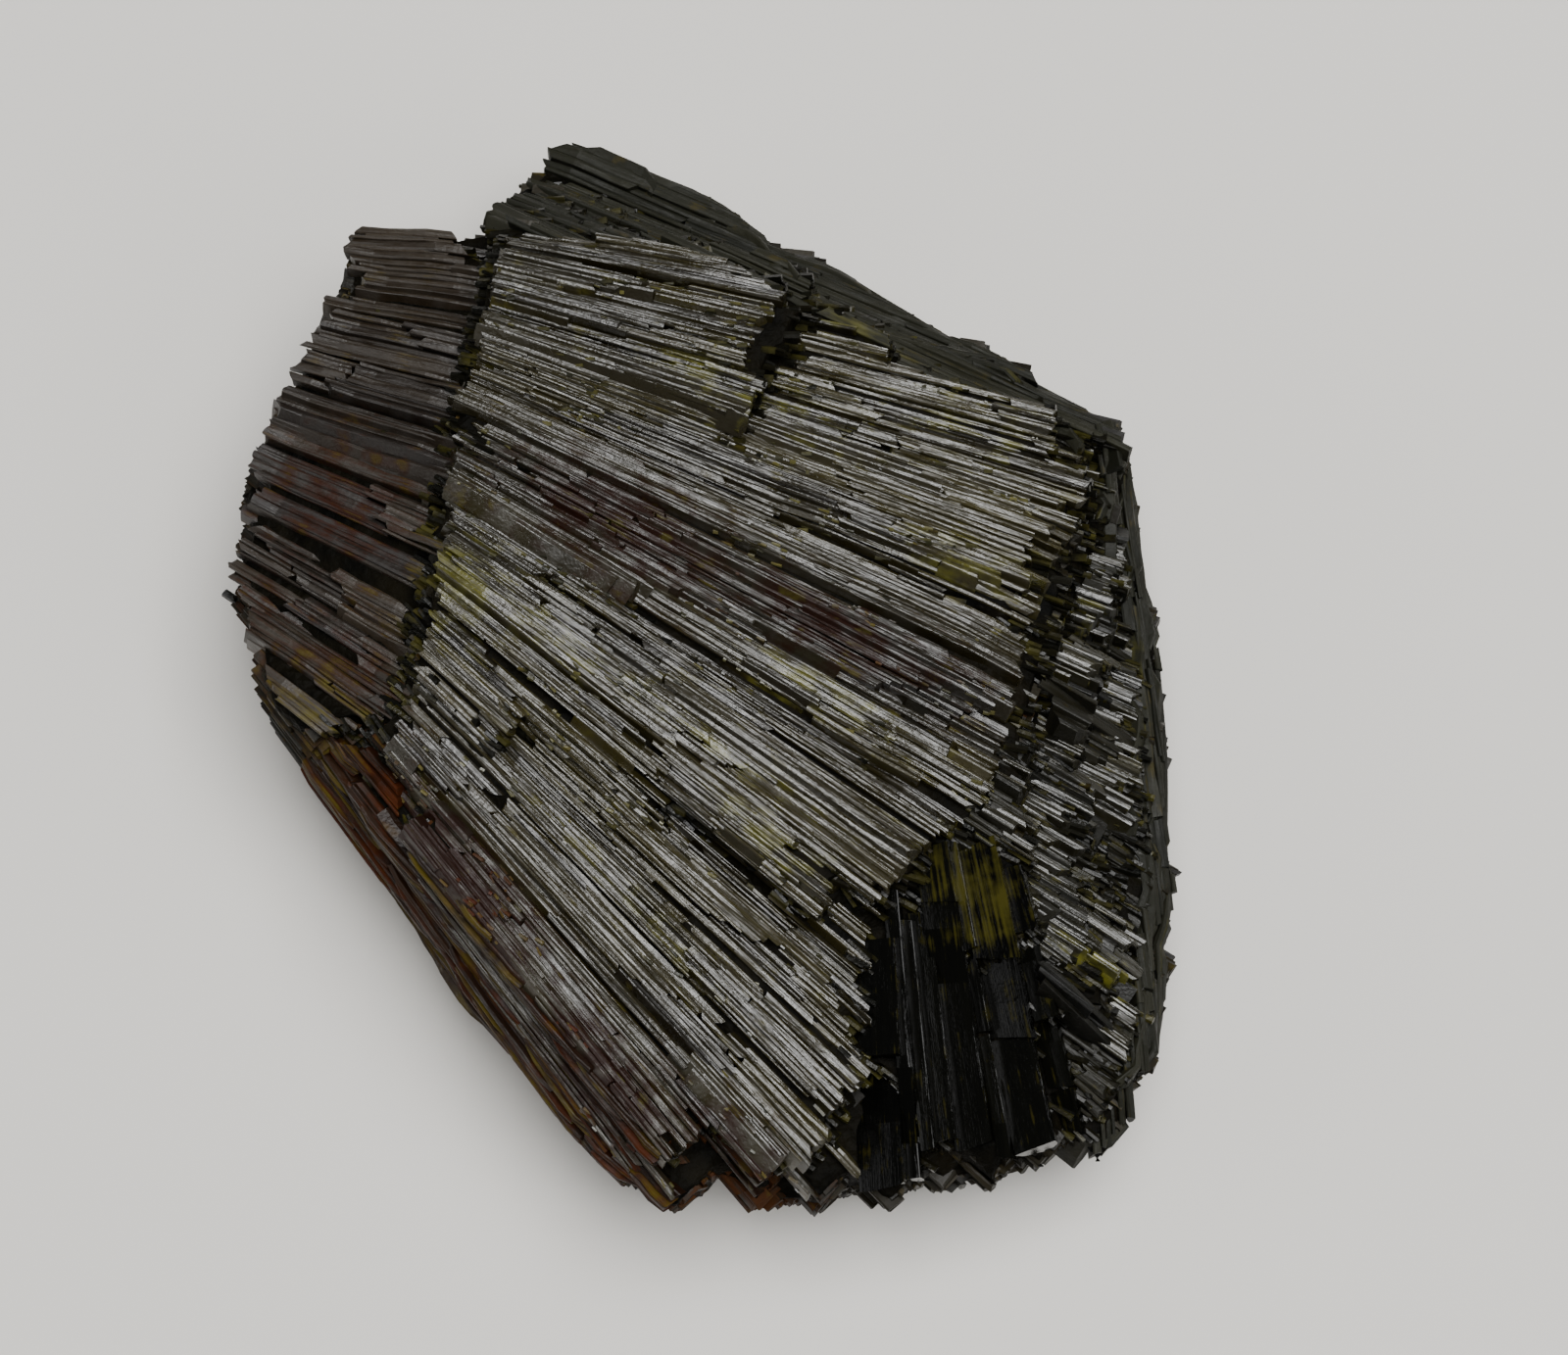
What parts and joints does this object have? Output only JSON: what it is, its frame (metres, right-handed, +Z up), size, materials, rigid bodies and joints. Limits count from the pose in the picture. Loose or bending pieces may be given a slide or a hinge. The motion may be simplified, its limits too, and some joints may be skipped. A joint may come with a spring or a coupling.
{
  "type": "epidote crystal cluster",
  "caption": "Hand-sized slab of dark striated epidote crystals grown together in fans, broken in steps at its ends, for display or study.",
  "frame": {"origin": "middle of the footprint box, at the level of the resting face", "axes": "+Z up through the broad striated face, +X to the right of that face, +Y to its far edge, along the longest size"},
  "size_m": [0.0554, 0.0642, 0.0215],
  "materials": {
    "epidote": "dark brown-green to near black, glassy to silky, with fine grooves along the crystals"
  },
  "bodies": {
    "root": {"epidote_cluster": "epidote"}
  },
  "joints": []
}
